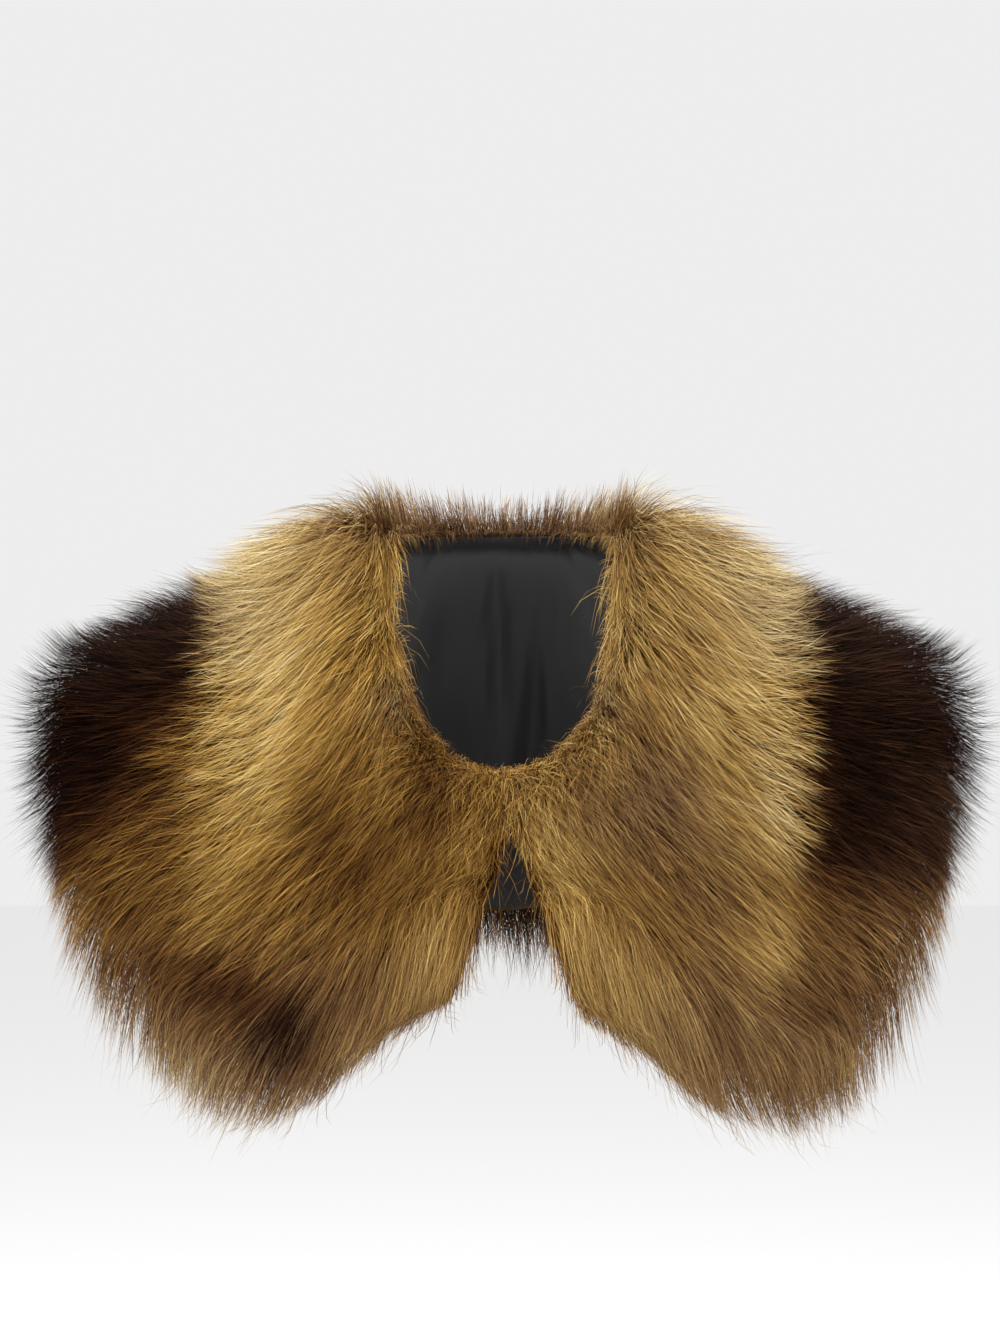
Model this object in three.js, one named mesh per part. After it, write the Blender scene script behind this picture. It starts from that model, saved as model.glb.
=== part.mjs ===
// Fur collar wrap: a shawl collar of long-haired fur, worn round the neck and over
// the shoulders, lined, and closed at the throat with one fur hook and eye.
// Millimetres, +Z up, the open front facing -Y, the wearer's left side on +X.
// The origin is the middle of the wearer's shoulder line at the base of the neck,
// where the wrap is held. Each fur panel is a wall: its inside is the hide and its
// outside is the envelope of the lying hair.

import * as THREE from "three";

const { degToRad, radToDeg, smoothstep } = THREE.MathUtils;

// Sizes of the wrap
const SEAM_GAP = 0.3;
const LINING_THICKNESS = 1.5;
const LINING_CLEARANCE = 0.3;
const WIRE_RADIUS = 0.9;

// Angles round the neck are counted from the centre front, 0, to the centre back, 180.
// The rings of the hide run from the neckline to the tips of the hair, which hang
// past the cut edge. side, front and back are a ring's reach from the neck axis,
// round is the power of its oval, and z0 to z180 are its heights at those angles.
const STATIONS = [0, 20, 45, 65, 90, 135, 180];
const RINGS = [
  { name: "neckline", side: 58, front: 70, back: 60, round: 2.0,
    z0: -84, z20: -78, z45: -56, z65: -18, z90: 24, z135: 34, z180: 36 },
  { name: "roll", side: 84, front: 82, back: 82, round: 2.1,
    z0: -100, z20: -97, z45: -76, z65: -36, z90: 20, z135: 22, z180: 18 },
  { name: "slope", side: 138, front: 96, back: 104, round: 2.2,
    z0: -122, z20: -122, z45: -119, z65: -86, z90: -19, z135: -30, z180: -42 },
  { name: "shoulder", side: 200, front: 108, back: 114, round: 2.3,
    z0: -141, z20: -147, z45: -168, z65: -139, z90: -40, z135: -76, z180: -104 },
  { name: "cut_edge", side: 203, front: 117, back: 116, round: 2.3,
    z0: -156, z20: -167, z45: -206, z65: -180, z90: -102, z135: -135, z180: -165 },
  { name: "hair_tips", side: 210, front: 122, back: 119, round: 2.3,
    z0: -188, z20: -205, z45: -243, z65: -227, z90: -148, z135: -177, z180: -207 },
];
const RING_NUMBERS = RINGS.map((_, number) => number);
const CUT_EDGE = 4;
const HAIR_TIPS = 5;

// On the wearer's left the low point of the hem sits LEFT_LAG degrees further round and
// LEFT_DROP lower. Both grow over LEFT_RINGS and fade out towards the arm.
const LEFT_LAG = 8;
const LEFT_DROP = 6;
const LEFT_RINGS = [1, 4];
const LEFT_FADE = [54, 82];

// Half the opening between the two fronts, ring by ring.
const FRONT_GAP = [0.2, 1.5, 5, 11, 19, 28];
const FRONT_GAP_CENTRE = 4;

// Height of the lying hair over the hide, from the neckline to the tips.
const PILE = [
  { ring: 0.0, height: 11 },
  { ring: 0.25, height: 21 },
  { ring: 1.0, height: 27 },
  { ring: 2.0, height: 29 },
  { ring: 3.0, height: 31 },
  { ring: 4.0, height: 25 },
  { ring: 5.0, height: 5 },
];

// Soft folds that the wrap falls into over chest, arms and back. A positive depth is a
// ridge, and a fold grows from the first of FOLD_RINGS to the second.
const FOLD_RINGS = [1.2, 4];
const FOLDS = [
  { angle: 40, width: 11, depth: 6 },
  { angle: 60, width: 9, depth: -6 },
  { angle: 78, width: 11, depth: 4 },
  { angle: 112, width: 13, depth: -5 },
  { angle: 134, width: 12, depth: 6 },
  { angle: 160, width: 12, depth: -4 },
];

// Locks of hair: two columns of points each, one on the lock and one beside it. The
// relief grows over RELIEF_RINGS. A lock ends LOCK_SHORT before the last ring, give or
// take its own reach, and the notch beside it ends LOCK_NOTCH before.
const LOCK_RELIEF = 2.6;
const RELIEF_RINGS = [0.3, 2];
const LOCK_SHORT = 0.12;
const LOCK_NOTCH = 0.42;
const HAIR_ROWS = [0, 0.15, 0.5, 1.1, 1.8, 2.5, 3.2, 3.85, 4.3, 4.7, 5.0];
const LINING_ROWS = HAIR_ROWS.filter((t) => t > 0 && t < CUT_EDGE);

// The panels in order round the neck, from the wearer's left front to the right front,
// by the angles at which each begins and ends. Both fronts follow the front opening.
const PANELS = [
  { name: "fur_front_left", from: "front", to: 64, locks: 12, finish: "fur_golden" },
  { name: "fur_shoulder_left", from: 64, to: 118, locks: 11, finish: "fur_dark" },
  { name: "fur_back", from: 118, to: 242, locks: 20, finish: "fur_golden" },
  { name: "fur_shoulder_right", from: 242, to: 296, locks: 11, finish: "fur_dark" },
  { name: "fur_front_right", from: 296, to: "front", locks: 12, finish: "fur_golden" },
];

const FINISHES = {
  fur_golden: { color: 0x9a6b35, roughness: 0.9, metalness: 0 },
  fur_dark: { color: 0x2c1810, roughness: 0.9, metalness: 0 },
  lining: { color: 0x1c1a1b, roughness: 0.55, metalness: 0 },
  clasp: { color: 0x2b2b2d, roughness: 0.4, metalness: 1 },
};

// A cubic between two values, with the slope that it leaves and the one it arrives at.
function cubic(u, from, leaving, to, arriving) {
  return (
    (2 * u ** 3 - 3 * u ** 2 + 1) * from + (u ** 3 - 2 * u ** 2 + u) * leaving
    + (3 * u ** 2 - 2 * u ** 3) * to + (u ** 3 - u ** 2) * arriving
  );
}

// A smooth curve through values given at uneven places, level at both ends.
function through(places, values, at) {
  const last = places.length - 1;
  const x = Math.min(Math.max(at, places[0]), places[last]);
  let k = 0;
  while (k < last - 1 && x > places[k + 1]) k += 1;
  const slope = (i) =>
    i === 0 || i === last ? 0 : (values[i + 1] - values[i - 1]) / (places[i + 1] - places[i - 1]);
  const span = places[k + 1] - places[k];
  return cubic((x - places[k]) / span, values[k], span * slope(k), values[k + 1], span * slope(k + 1));
}

// Angle from the centre front, folded to 0..180.
function turn(degrees) {
  return Math.abs(((degrees % 360) + 540) % 360 - 180);
}

function side(degrees) {
  return Math.sin(degToRad(degrees)) >= 0 ? 1 : -1;
}

// How much of the left side's own hem a point takes part in, from 0 to 1.
function leftShare(ring, degrees) {
  if (side(degrees) < 0) return 0;
  const fade = 1 - smoothstep(turn(degrees), ...LEFT_FADE);
  return Math.sin(degToRad(degrees)) ** 2 * smoothstep(ring, ...LEFT_RINGS) * fade;
}

function ringPoint(ring, degrees) {
  const row = RINGS[ring];
  const a = degToRad(degrees);
  const across = Math.abs(Math.sin(a));
  const along = Math.cos(a);
  const depth = along >= 0 ? row.front : row.back;
  const reach =
    ((across / row.side) ** row.round + (Math.abs(along) / depth) ** row.round) ** (-1 / row.round);
  const left = leftShare(ring, degrees);
  const level = through(STATIONS, STATIONS.map((s) => row[`z${s}`]), turn(degrees) - LEFT_LAG * left);
  const z = level - LEFT_DROP * left;
  return new THREE.Vector3(reach * Math.sin(a), -reach * along, z);
}

function foldRise(degrees, t) {
  const grown = smoothstep(t, ...FOLD_RINGS);
  const here = turn(degrees);
  return FOLDS.reduce(
    (sum, fold) => sum + fold.depth * grown * Math.exp(-(((here - fold.angle) / fold.width) ** 2)), 0);
}

// A point of the hide, by angle and by ring number, which may be a fraction.
function hidePoint(degrees, t) {
  const k = Math.min(Math.floor(t), HAIR_TIPS - 1);
  const at = (i) => ringPoint(Math.min(Math.max(i, 0), HAIR_TIPS), degrees);
  const [a, b, c, d] = [at(k - 1), at(k), at(k + 1), at(k + 2)];
  if (k === 0) a.copy(b).multiplyScalar(2).sub(c);
  if (k + 2 > HAIR_TIPS) d.copy(c).multiplyScalar(2).sub(b);
  const point = new THREE.Vector3();
  for (const axis of ["x", "y", "z"]) {
    const leaving = (c[axis] - a[axis]) / 2;
    const arriving = (d[axis] - b[axis]) / 2;
    point[axis] = cubic(t - k, b[axis], leaving, c[axis], arriving);
  }
  const outward = new THREE.Vector3(point.x, point.y, 0).normalize();
  return point.addScaledVector(outward, foldRise(degrees, t));
}

const STEP_DEGREES = 0.5;
const STEP_RING = 0.02;

// Unit directions at a point of the hide: round the neck, down the wrap, and outward.
function directions(degrees, t) {
  const low = Math.max(t - STEP_RING, 0);
  const high = Math.min(t + STEP_RING, HAIR_TIPS);
  const round = hidePoint(degrees + STEP_DEGREES, t).sub(hidePoint(degrees - STEP_DEGREES, t)).normalize();
  const down = hidePoint(degrees, high).sub(hidePoint(degrees, low)).normalize();
  const out = new THREE.Vector3().crossVectors(down, round).normalize();
  return { round, down, out };
}

// The angle at which a front edge stands at ring t, on the side with that sign.
function frontAngle(sign, t) {
  const gap = through(RING_NUMBERS, FRONT_GAP, t);
  const x = sign * gap + FRONT_GAP_CENTRE;
  const depth = through(RING_NUMBERS, RINGS.map((r) => r.front), t);
  return radToDeg(Math.atan2(x, depth));
}

function pileHeight(t) {
  return through(PILE.map((p) => p.ring), PILE.map((p) => p.height), t);
}

// A closed wall from two grids of points that share their columns and rows.
function wallGeometry(outer, inner) {
  const columns = outer.length;
  const rows = outer[0].length;
  const positions = [...outer.flat(), ...inner.flat()].flatMap((p) => [p.x, p.y, p.z]);
  const out = (i, j) => i * rows + j;
  const back = (i, j) => columns * rows + i * rows + j;
  const faces = [];
  const quad = (a, b, c, d) => faces.push(a, b, c, a, c, d);
  for (let i = 0; i < columns - 1; i += 1) {
    for (let j = 0; j < rows - 1; j += 1) {
      quad(out(i, j), out(i, j + 1), out(i + 1, j + 1), out(i + 1, j));
      quad(back(i, j), back(i + 1, j), back(i + 1, j + 1), back(i, j + 1));
    }
    quad(out(i, 0), out(i + 1, 0), back(i + 1, 0), back(i, 0));
    quad(out(i, rows - 1), back(i, rows - 1), back(i + 1, rows - 1), out(i + 1, rows - 1));
  }
  const end = columns - 1;
  for (let j = 0; j < rows - 1; j += 1) {
    quad(out(0, j), back(0, j), back(0, j + 1), out(0, j + 1));
    quad(out(end, j), out(end, j + 1), back(end, j + 1), back(end, j));
  }
  const geometry = new THREE.BufferGeometry();
  geometry.setAttribute("position", new THREE.Float32BufferAttribute(positions, 3));
  geometry.setIndex(faces);
  return geometry;
}

// How far each lock reaches, as a steady but uneven series of two waves.
const REACH_WAVES = [{ size: 0.12, pace: 2.4, start: 0 }, { size: 0.08, pace: 5.3, start: 1 }];

function lockReach(number) {
  return REACH_WAVES.reduce((sum, wave) => sum + wave.size * Math.sin(number * wave.pace + wave.start), 0);
}

// The angle of a column between a panel's two ends, at ring t.
function columnAngle(panel, share, t) {
  const start = panel.from === "front" ? frontAngle(1, t) : panel.from;
  const stop = panel.to === "front" ? 360 + frontAngle(-1, t) : panel.to;
  return start + (stop - start) * share;
}

// Half the seam gap, towards the panel's own side, at its first and last column.
function seamShift(column, last) {
  if (column === 0) return SEAM_GAP / 2;
  return column === last ? -SEAM_GAP / 2 : 0;
}

function furPanel(panel) {
  const last = panel.locks * 2;
  const outer = [];
  const inner = [];
  for (let column = 0; column <= last; column += 1) {
    const onLock = column % 2 === 1;
    const lock = Math.floor(column / 2);
    const tip = HAIR_TIPS - (onLock ? LOCK_SHORT + lockReach(lock) : LOCK_NOTCH);
    const outerLine = [];
    const innerLine = [];
    for (const row of HAIR_ROWS) {
      const t = row <= CUT_EDGE ? row : CUT_EDGE + (row - CUT_EDGE) * (tip - CUT_EDGE);
      const angle = columnAngle(panel, column / last, t);
      const { round, out } = directions(angle, t);
      const base = hidePoint(angle, t).addScaledVector(round, seamShift(column, last));
      const relief = row < HAIR_TIPS ? smoothstep(t, ...RELIEF_RINGS) * LOCK_RELIEF : 0;
      innerLine.push(base);
      outerLine.push(base.clone().addScaledVector(out, pileHeight(row) + (onLock ? relief : -relief)));
    }
    outer.push(outerLine);
    inner.push(innerLine);
  }
  return wallGeometry(outer, inner);
}

// The lining lies inside the hide, in one piece from front edge to front edge. It has
// the panels' own columns and rows, moved in, and starts half a column from the edge.
function liningLine(panel, share, depth) {
  return LINING_ROWS.map((t) => {
    const angle = columnAngle(panel, share, t);
    return hidePoint(angle, t).addScaledVector(directions(angle, t).out, -depth);
  });
}

function halfway(first, second) {
  return first.map((point, row) => point.clone().lerp(second[row], 0.5));
}

function liningGrid(depth) {
  const lines = PANELS.flatMap((panel, index) => {
    const last = panel.locks * 2;
    const first = index === 0 ? 0 : 1;
    return Array.from({ length: last + 1 - first }, (_, i) => liningLine(panel, (i + first) / last, depth));
  });
  const end = lines.length - 1;
  lines[0] = halfway(lines[0], lines[1]);
  lines[end] = halfway(lines[end], lines[end - 1]);
  return lines;
}

function liningWall() {
  return wallGeometry(liningGrid(LINING_CLEARANCE), liningGrid(LINING_CLEARANCE + LINING_THICKNESS));
}

// Fur hook and eye, sewn on the lining behind the throat just under the neckline. The
// bends of each wire run from its sewn end: across the opening, up, and off the lining.
const CLASP_RING = 0.5;
const CLASP_SEAT = 0.6;
const WIRE_SIDES = 8;
const WIRE_STEPS = 24;
const EYE_BENDS = [
  { across: 13, up: 4.2, lift: 0 },
  { across: 8, up: 4.2, lift: 0 },
  { across: 0, up: 3.6, lift: 0 },
  { across: -5, up: 0, lift: 0 },
  { across: 0, up: -3.6, lift: 0 },
  { across: 8, up: -4.2, lift: 0 },
  { across: 13, up: -4.2, lift: 0 },
];
const HOOK_BENDS = [
  { across: -13, up: 1.7, lift: 0 },
  { across: -9, up: 0.8, lift: 0 },
  { across: -7.4, up: 0, lift: 2.2 },
  { across: -4.7, up: 0, lift: 3.6 },
  { across: -1.6, up: 0, lift: 2.9 },
  { across: 0, up: 0, lift: 0.7 },
];

function claspPoint({ across, up, lift }) {
  const angle = radToDeg(Math.atan2(FRONT_GAP_CENTRE + across, RINGS[0].front));
  const rollWidth = hidePoint(angle, 1).distanceTo(hidePoint(angle, 0));
  const t = CLASP_RING - up / rollWidth;
  const seat = LINING_CLEARANCE + LINING_THICKNESS + CLASP_SEAT + WIRE_RADIUS;
  return hidePoint(angle, t).addScaledVector(directions(angle, t).out, -seat - lift);
}

// A bent wire of round section, on a smooth curve through its bends.
function wire(bends) {
  const section = new THREE.Shape();
  section.absarc(0, 0, WIRE_RADIUS, 0, 2 * Math.PI);
  return new THREE.ExtrudeGeometry(section, {
    steps: WIRE_STEPS,
    curveSegments: WIRE_SIDES,
    bevelEnabled: false,
    extrudePath: new THREE.CatmullRomCurve3(bends.map(claspPoint)),
  });
}

function mesh(name, geometry, finish) {
  const piece = new THREE.Mesh(geometry, new THREE.MeshStandardMaterial(FINISHES[finish]));
  piece.name = name;
  return piece;
}

const wrap = new THREE.Group();
PANELS.forEach((panel) => wrap.add(mesh(panel.name, furPanel(panel), panel.finish)));
wrap.add(mesh("lining", liningWall(), "lining"));
wrap.add(mesh("clasp_eye", wire(EYE_BENDS), "clasp"));
wrap.add(mesh("clasp_hook", wire(HOOK_BENDS), "clasp"));

export default wrap;
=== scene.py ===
# Fur collar wrap: hide panels with long hair, a satin lining, and a fur hook and eye.
# Metres, in the part's own frame: +Z up, the open front facing -Y, its left side on +X.
# Angles go round the neckline in degrees from the centre front, first to the left. The
# rings of the hide run from the neckline, 0, over the cut edge, 4, to the hair tips, 5.

import math

import bpy
import numpy as np
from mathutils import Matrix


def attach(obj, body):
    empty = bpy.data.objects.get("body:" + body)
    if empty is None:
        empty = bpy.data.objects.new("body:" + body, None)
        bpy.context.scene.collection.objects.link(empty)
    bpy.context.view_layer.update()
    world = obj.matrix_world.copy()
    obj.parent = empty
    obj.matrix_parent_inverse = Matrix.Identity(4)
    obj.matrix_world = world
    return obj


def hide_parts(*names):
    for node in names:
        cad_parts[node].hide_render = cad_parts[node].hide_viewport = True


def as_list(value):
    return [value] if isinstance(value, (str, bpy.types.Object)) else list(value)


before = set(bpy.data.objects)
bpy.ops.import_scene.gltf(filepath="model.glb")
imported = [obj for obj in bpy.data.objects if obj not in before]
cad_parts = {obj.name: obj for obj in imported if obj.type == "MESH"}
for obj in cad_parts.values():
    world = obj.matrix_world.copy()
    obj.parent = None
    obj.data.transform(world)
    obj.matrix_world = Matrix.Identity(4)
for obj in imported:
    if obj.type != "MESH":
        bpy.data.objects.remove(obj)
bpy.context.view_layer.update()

MM = 0.001
TINY = 1e-12

# ---- The form of the wrap, from the part's own measures ----

STATIONS = (0, 20, 45, 65, 90, 135, 180)
# Each ring: reach to the side, front and back, power of its oval, heights at STATIONS
RINGS = (
    (58, 70, 60, 2.0, (-84, -78, -56, -18, 24, 34, 36)),  # neckline
    (84, 82, 82, 2.1, (-100, -97, -76, -36, 20, 22, 18)),  # roll
    (138, 96, 104, 2.2, (-122, -122, -119, -86, -19, -30, -42)),  # slope
    (200, 108, 114, 2.3, (-141, -147, -168, -139, -40, -76, -104)),  # shoulder
    (203, 117, 116, 2.3, (-156, -167, -206, -180, -102, -135, -165)),  # cut edge
    (210, 122, 119, 2.3, (-188, -205, -243, -227, -148, -177, -207)),  # hair tips
)
CUT_EDGE = 4
HAIR_TIPS = 5
# On the left the low point of the hem sits further round, in degrees, and lower. This
# comes in over some rings and fades out over some angles
LEFT_LAG = 8
LEFT_DROP = 6
LEFT_RINGS = (1, 4)
LEFT_FADE = (54, 82)
# Half of the front opening's width at each ring, and how far to the left its middle is
FRONT_GAP = (0.2, 1.5, 5, 11, 19, 28)
FRONT_GAP_CENTRE = 4
# Ring, and the height of the lying hair over the hide
PILE = ((0, 11), (0.25, 21), (1, 27), (2, 29), (3, 31), (4, 25), (5, 5))
# Soft folds: angle, width in degrees, depth in millimetres
FOLDS = ((40, 11, 6), (60, 9, -6), (78, 11, 4), (112, 13, -5), (134, 12, 6), (160, 12, -4))
FOLDS_BEGIN = 1.2
SEAM_GAP = 0.3 * MM


def smoothstep(x, low, high):
    t = np.clip((x - low) / (high - low), 0, 1)
    return t * t * (3 - 2 * t)


def band(x, begins, whole, fades, ends):
    """1 from whole to fades, and 0 before it begins and after it ends."""
    return smoothstep(x, begins, whole) * (1 - smoothstep(x, fades, ends))


def mix(a, b, share):
    return a + (b - a) * share


def unit(v):
    return v / np.maximum(np.linalg.norm(v, axis=-1, keepdims=True), TINY)


def curve(t, start, start_slope, end, end_slope):
    """A smooth curve from start to end while t runs from 0 to 1, by its end slopes."""
    t2, t3 = t * t, t * t * t
    return (
        (2 * t3 - 3 * t2 + 1) * start + (t3 - 2 * t2 + t) * start_slope
        + (3 * t2 - 2 * t3) * end + (t3 - t2) * end_slope
    )


def through(places, values, at):
    """A smooth curve through values given at uneven places, level at both ends."""
    places, values = np.asarray(places, float), np.asarray(values, float)
    slopes = np.zeros(len(values))
    slopes[1:-1] = (values[2:] - values[:-2]) / (places[2:] - places[:-2])
    x = np.clip(at, places[0], places[-1])
    k = np.clip(np.searchsorted(places, x, side="right") - 1, 0, len(places) - 2)
    span = places[k + 1] - places[k]
    t = (x - places[k]) / span
    return curve(t, values[k], span * slopes[k], values[k + 1], span * slopes[k + 1])


def turn(degrees):
    """The angle from the centre front, the same on both sides."""
    return np.abs((degrees + 540) % 360 - 180)


def side_of(degrees):
    """1 on the left side and -1 on the right."""
    return np.sign(np.sin(np.radians(degrees)))


def spot(degrees, t, angle, wide, ring, high):
    """How near a place is to the middle of a soft oval on the hide, from 0 to 1."""
    return np.exp(-(((turn(degrees) - angle) / wide) ** 2) - ((t - ring) / high) ** 2)


def ring_point(ring, degrees):
    side, front, back, power, heights = RINGS[ring]
    a = np.radians(degrees)
    across, along = np.abs(np.sin(a)), np.cos(a)
    depth = np.where(along >= 0, front, back)
    reach = ((across / side) ** power + (np.abs(along) / depth) ** power) ** (-1 / power)
    left = np.where(np.sin(a) >= 0, across**2 * smoothstep(ring, *LEFT_RINGS), 0)
    left = left * (1 - smoothstep(turn(degrees), *LEFT_FADE))
    z = through(STATIONS, heights, turn(degrees) - LEFT_LAG * left) - LEFT_DROP * left
    return np.stack([reach * np.sin(a), -reach * along, z], -1)


def fold_rise(degrees, t):
    """How far the soft folds stand out, in millimetres."""
    here = turn(degrees)
    rise = sum(
        depth * np.exp(-(((here - angle) / width) ** 2)) for angle, width, depth in FOLDS
    )
    return rise * smoothstep(t, FOLDS_BEGIN, CUT_EDGE)


GRID_DEGREES = 1.0
GRID_MARGIN = 4  # degrees that the grid runs on past the centre front
GRID_RING = 0.05
POINT, PER_DEGREE, PER_RING, OUT = range(4)  # what the grid holds for each place


def hide_grid():
    """The hide's points by angle and ring, and its directions there."""
    degrees = np.arange(-GRID_MARGIN, 360 + GRID_MARGIN + GRID_DEGREES, GRID_DEGREES)
    rings = np.arange(0, HAIR_TIPS + GRID_RING / 2, GRID_RING)
    lines = [ring_point(k, degrees) for k in range(HAIR_TIPS + 1)]
    lines = [2 * lines[0] - lines[1]] + lines + [2 * lines[-1] - lines[-2]]
    points = np.empty((len(degrees), len(rings), 3))
    for j, t in enumerate(rings):
        k = min(int(t + TINY), HAIR_TIPS - 1)
        before, start, end, after = lines[k : k + 4]
        end_slope = end - start if k == HAIR_TIPS - 1 else (after - start) / 2
        point = curve(t - k, start, (end - before) / 2, end, end_slope)
        rise = fold_rise(degrees, np.full(len(degrees), t))
        points[:, j] = point + unit(point * (1, 1, 0)) * rise[:, None]
    points *= MM
    per_degree = np.gradient(points, GRID_DEGREES, axis=0)
    per_ring = np.gradient(points, GRID_RING, axis=1)
    out = unit(np.cross(per_ring, per_degree))
    return points, per_degree, per_ring, out


GRID = hide_grid()


def sample(degrees, t, wanted=(POINT, OUT)):
    """Grid values at any angle and ring. Past the rings' ends a point runs straight on."""
    x = (degrees % 360 + GRID_MARGIN) / GRID_DEGREES
    y = np.clip(t, 0, HAIR_TIPS) / GRID_RING
    i = np.clip(x.astype(int), 0, GRID[POINT].shape[0] - 2)
    j = np.clip(y.astype(int), 0, GRID[POINT].shape[1] - 2)
    fx, fy = (x - i)[..., None], (y - j)[..., None]

    def at(values):
        return (
            values[i, j] * (1 - fx) * (1 - fy) + values[i + 1, j] * fx * (1 - fy)
            + values[i, j + 1] * (1 - fx) * fy + values[i + 1, j + 1] * fx * fy
        )

    found = {k: at(GRID[k]) for k in set(wanted) | {PER_RING}}
    beyond = (t - np.clip(t, 0, HAIR_TIPS))[..., None]
    if POINT in wanted:
        found[POINT] = found[POINT] + beyond * found[PER_RING]
    if OUT in wanted:
        found[OUT] = unit(found[OUT])
    return [found[k] for k in wanted]


def sample_one(degrees, t, wanted=(POINT, OUT)):
    return sample(np.array([degrees]), np.array([t]), wanted)


def front_angle(sign, t):
    """The angle of the front opening's edge, on the left with sign 1."""
    gap = through(range(len(RINGS)), FRONT_GAP, t)
    depth = through(range(len(RINGS)), [ring[1] for ring in RINGS], t)
    return np.degrees(np.arctan2(sign * gap + FRONT_GAP_CENTRE, depth))


def pile_height(t):
    return through([ring for ring, _ in PILE], [height for _, height in PILE], t) * MM


# The panels by the angles at which each begins and ends; None follows the front opening
PANELS = {
    "front_left": (None, 64),
    "shoulder_left": (64, 118),
    "back": (118, 242),
    "shoulder_right": (242, 296),
    "front_right": (296, None),
}


def column_angle(panel, share, t):
    start, stop = PANELS[panel]
    start = front_angle(1, t) if start is None else start
    stop = 360 + front_angle(-1, t) if stop is None else stop
    return start + (stop - start) * share


# ---- Camera, light and floor ----

PHOTO_HIGH = 1333
PIXEL = 0.5 * MM  # what one pixel of that height covers at the middle of the wrap
CAMERA_AWAY = 1.4
CAMERA_PLACE = (-0.0015, -CAMERA_AWAY, -0.033)
SENSOR = 36
# Soft lights: name, place, what it faces, size, and power in watts
LIGHTS = (
    ("key", (-0.9, -1.5, 1.5), (0, 0, -0.1), 0.9, 34),
    ("fill", (1.4, -1.3, 0.7), (0, 0, -0.1), 1.1, 14),
    ("top", (0.1, 0.5, 1.6), (0, 0, -0.05), 0.9, 14),
)
SURROUND = 0.85
FLOOR_SIZE = 14
FLOOR_PLACE = (0, 0, -0.75)
FLOOR_COLOUR = (0.93, 0.93, 0.93, 1)
FLOOR_ROUGHNESS = 0.9


def add_camera():
    bpy.ops.object.camera_add(location=CAMERA_PLACE, rotation=(math.pi / 2, 0, 0))
    camera = bpy.context.object
    camera.name = "photo_camera"
    camera.data.sensor_width = SENSOR
    camera.data.lens = SENSOR * CAMERA_AWAY / (PHOTO_HIGH * PIXEL)
    bpy.context.scene.camera = camera


def add_light(name, place, aim, size, watts):
    bpy.ops.object.light_add(type="AREA", location=place)
    light = bpy.context.object
    light.name = name
    light.data.shape = "DISK"
    light.data.size = size
    light.data.energy = watts
    way = np.array(aim, float) - np.array(place, float)
    tilt = math.atan2(math.hypot(way[0], way[1]), -way[2])
    light.rotation_euler = (tilt, 0, -math.atan2(way[0], way[1]))


def add_studio():
    world = bpy.data.worlds.new("studio")
    bpy.context.scene.world = world
    world.use_nodes = True
    background = world.node_tree.nodes["Background"]
    background.inputs["Color"].default_value = (1, 1, 1, 1)
    background.inputs["Strength"].default_value = SURROUND
    for light in LIGHTS:
        add_light(*light)
    bpy.context.scene.view_settings.view_transform = "Standard"


def add_floor():
    bpy.ops.mesh.primitive_plane_add(size=FLOOR_SIZE, location=FLOOR_PLACE)
    floor = bpy.context.object
    floor.name = "floor"
    paint = bpy.data.materials.new("pale floor")
    paint.use_nodes = True
    surface = paint.node_tree.nodes["Principled BSDF"]
    surface.inputs["Base Color"].default_value = FLOOR_COLOUR
    surface.inputs["Roughness"].default_value = FLOOR_ROUGHNESS
    floor.data.materials.append(paint)


# ---- Materials ----

# The map that holds a hair's tone, near black to cream, across it, and its ash up it
HAIR_MAP = "OFBake"
WARM_TONES = (
    (0.00, (10, 3, 1)), (0.10, (27, 10, 4)), (0.20, (54, 28, 12)), (0.30, (82, 50, 20)),
    (0.40, (109, 74, 30)), (0.50, (135, 97, 40)), (0.60, (161, 122, 54)),
    (0.70, (187, 151, 76)), (0.80, (206, 177, 106)), (0.90, (224, 204, 150)),
    (1.00, (240, 228, 194)),
)
ASH_TONES = (
    (0.00, (16, 9, 7)), (0.20, (57, 38, 27)), (0.40, (104, 78, 57)), (0.50, (128, 100, 75)),
    (0.60, (154, 132, 92)), (0.70, (180, 160, 113)), (0.80, (199, 182, 138)),
    (0.90, (217, 204, 168)), (1.00, (236, 228, 204)),
)
HAIR_GAIN = 1.25
BRIGHTEST = 0.95
GRAIN_DETAIL = 6.0
RELIEF_DETAIL = 4.0
RELIEF_DEPTH = 0.6 * MM


def linear(rgb, gain=1.0):
    """A colour given as 0 to 255, as the shader's own linear one."""
    parts = [c / 255 for c in rgb]
    parts = [p / 12.92 if p <= 0.04045 else ((p + 0.055) / 1.055) ** 2.4 for p in parts]
    return (*[min(p * gain, BRIGHTEST) for p in parts], 1.0)


class Paint:
    """A node material under construction."""

    def __init__(self, name):
        self.material = bpy.data.materials.new(name)
        self.material.use_nodes = True
        self.tree = self.material.node_tree
        self.surface = self.tree.nodes["Principled BSDF"]

    def node(self, kind, **settings):
        made = self.tree.nodes.new(kind)
        for key, value in settings.items():
            if key in made.inputs:
                made.inputs[key].default_value = value
            else:
                setattr(made, key, value)
        return made

    def link(self, source, target):
        self.tree.links.new(source, target)

    def ramp(self, stops, gain=1.0):
        made = self.node("ShaderNodeValToRGB")
        elements = made.color_ramp.elements
        while len(elements) < len(stops):
            elements.new(0.5)
        for element, (at, rgb) in zip(elements, stops):
            element.position = at
            element.color = linear(rgb, gain)
        return made

    def set(self, **values):
        for key, value in values.items():
            self.surface.inputs[key.replace("_", " ")].default_value = value


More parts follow.
